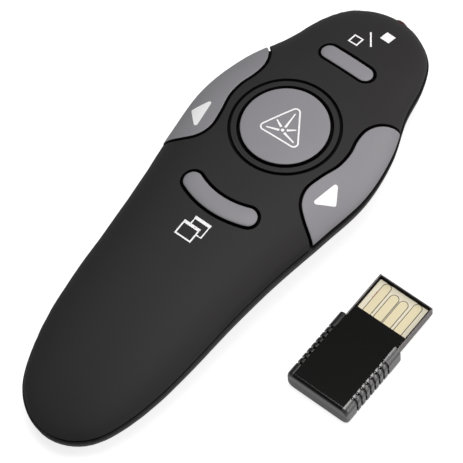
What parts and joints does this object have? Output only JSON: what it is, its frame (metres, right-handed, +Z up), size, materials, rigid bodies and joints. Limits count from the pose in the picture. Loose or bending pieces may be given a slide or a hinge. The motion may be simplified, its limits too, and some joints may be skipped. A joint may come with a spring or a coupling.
{
  "type": "wireless presentation clicker",
  "caption": "Handheld wireless presentation clicker with sprung keys, a laser in its nose and a small plug-in receiver beside it.",
  "frame": {"origin": "midway along the handset on its centre line, on the flat face of the battery door that it rests on", "axes": "+Y along the handset towards its nose, +X to its right seen from above with the nose ahead, +Z up out of the resting face; the receiver lies on the +X side with its plug towards +Y"},
  "size_m": [0.0599, 0.1058, 0.0191],
  "materials": {
    "soft_black": "soft-touch paint, matt",
    "case_black": "fine texture",
    "key_grey": "satin silver-grey paint",
    "board_green": "solder resist",
    "switch_steel": "bright",
    "plunger_black": "plain",
    "chip_black": "moulded",
    "can_steel": "bright",
    "capacitor_tan": "ceramic",
    "laser_brass": "turned",
    "lens_clear": "polished",
    "window_red": "polished, dark red",
    "cell_sleeve": "printed sleeve, plain",
    "contact_nickel": "nickel plated",
    "wire_red": "PVC",
    "wire_black": "PVC",
    "screw_steel": "zinc plated",
    "receiver_black": "gloss",
    "plug_steel": "bright sheet",
    "laminate_cream": "cream solder resist",
    "contact_gold": "gold plated"
  },
  "bodies": {
    "handset": {"upper_shell": "soft_black", "lower_shell": "case_black", "main_board": "board_green", "laser_driver_board": "board_green", "key_switches": "switch_steel", "radio_chip": "chip_black", "crystal": "can_steel", "board_capacitors": "capacitor_tan", "laser_barrel": "laser_brass", "laser_lens": "lens_clear", "laser_diode": "can_steel", "laser_leads": "wire_red", "laser_window": "window_red", "battery_cell": "cell_sleeve", "cell_cap": "can_steel", "battery_spring": "contact_nickel", "minus_plate": "contact_nickel", "plus_plate": "contact_nickel", "battery_lead": "wire_black", "case_screws": "screw_steel"},
    "battery_door": {"battery_door": "case_black"},
    "laser_key": {"laser_key": "key_grey"},
    "next_key": {"next_key": "key_grey"},
    "previous_key": {"previous_key": "key_grey"},
    "screen_key": {"screen_key": "key_grey"},
    "window_key": {"window_key": "key_grey"},
    "laser_key_plunger": {"laser_key_plunger": "plunger_black"},
    "next_key_plunger": {"next_key_plunger": "plunger_black"},
    "previous_key_plunger": {"previous_key_plunger": "plunger_black"},
    "screen_key_plunger": {"screen_key_plunger": "plunger_black"},
    "window_key_plunger": {"window_key_plunger": "plunger_black"},
    "receiver": {"receiver_cover": "receiver_black", "receiver_base": "receiver_black", "plug_tray": "plug_steel", "receiver_board": "laminate_cream", "receiver_contacts": "contact_gold", "receiver_chip": "chip_black", "receiver_crystal": "can_steel"}
  },
  "joints": [
    {"name": "battery_door_slide", "type": "slide", "parent": "handset", "child": "battery_door", "axis": [0, -1, 0], "range_m": [0, 0.006]},
    {"name": "laser_key_press", "type": "slide", "parent": "handset", "child": "laser_key", "axis": [0, 0, -1], "range_m": [0, 0.0005], "stiffness_N_per_m": 1500, "springref_m": -0.0002},
    {"name": "next_key_press", "type": "slide", "parent": "handset", "child": "next_key", "axis": [0, 0, -1], "range_m": [0, 0.0005], "stiffness_N_per_m": 1500, "springref_m": -0.0002},
    {"name": "previous_key_press", "type": "slide", "parent": "handset", "child": "previous_key", "axis": [0, 0, -1], "range_m": [0, 0.0005], "stiffness_N_per_m": 1500, "springref_m": -0.0002},
    {"name": "screen_key_press", "type": "slide", "parent": "handset", "child": "screen_key", "axis": [0, 0, -1], "range_m": [0, 0.0005], "stiffness_N_per_m": 1500, "springref_m": -0.0002},
    {"name": "window_key_press", "type": "slide", "parent": "handset", "child": "window_key", "axis": [0, 0, -1], "range_m": [0, 0.0005], "stiffness_N_per_m": 1500, "springref_m": -0.0002},
    {"name": "laser_key_plunger_press", "type": "slide", "parent": "handset", "child": "laser_key_plunger", "axis": [0, 0, -1], "range_m": [0, 0.0005]},
    {"name": "next_key_plunger_press", "type": "slide", "parent": "handset", "child": "next_key_plunger", "axis": [0, 0, -1], "range_m": [0, 0.0005]},
    {"name": "previous_key_plunger_press", "type": "slide", "parent": "handset", "child": "previous_key_plunger", "axis": [0, 0, -1], "range_m": [0, 0.0005]},
    {"name": "screen_key_plunger_press", "type": "slide", "parent": "handset", "child": "screen_key_plunger", "axis": [0, 0, -1], "range_m": [0, 0.0005]},
    {"name": "window_key_plunger_press", "type": "slide", "parent": "handset", "child": "window_key_plunger", "axis": [0, 0, -1], "range_m": [0, 0.0005]},
    {"name": "receiver_lift", "type": "slide", "parent": "handset", "child": "receiver", "axis": [0, 0, 1], "range_m": [0, 0.03]}
  ],
  "couplings": [
    {"joint": "laser_key_plunger_press", "follows": "laser_key_press", "ratio": 1},
    {"joint": "next_key_plunger_press", "follows": "next_key_press", "ratio": 1},
    {"joint": "previous_key_plunger_press", "follows": "previous_key_press", "ratio": 1},
    {"joint": "screen_key_plunger_press", "follows": "screen_key_press", "ratio": 1},
    {"joint": "window_key_plunger_press", "follows": "window_key_press", "ratio": 1}
  ]
}
